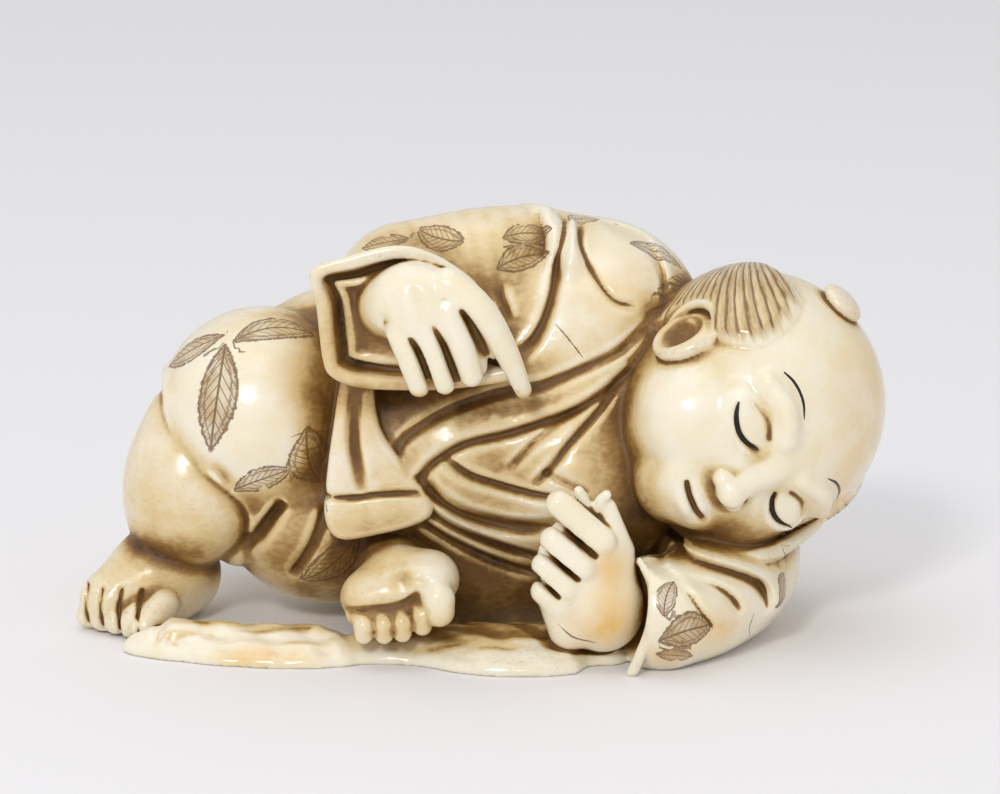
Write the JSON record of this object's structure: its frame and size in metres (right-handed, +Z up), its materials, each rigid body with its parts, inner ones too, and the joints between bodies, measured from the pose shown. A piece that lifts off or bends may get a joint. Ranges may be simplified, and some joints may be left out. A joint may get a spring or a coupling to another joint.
{
  "type": "netsuke",
  "caption": "Carved netsuke of a boy in a loose robe lying on his belly, cheek on his sleeve, one foot behind him, on a flat two-lobed leaf.",
  "frame": {"origin": "on the ground, under the middle of the figure's box", "axes": "+X along the figure to its head, -Y out through its face and the front of its robe, +Z up"},
  "size_m": [0.0475, 0.0266, 0.0243],
  "materials": {
    "carved_ivory_figure": "satin"
  },
  "bodies": {
    "root": {"carved_ivory_figure": "carved_ivory_figure"}
  },
  "joints": []
}
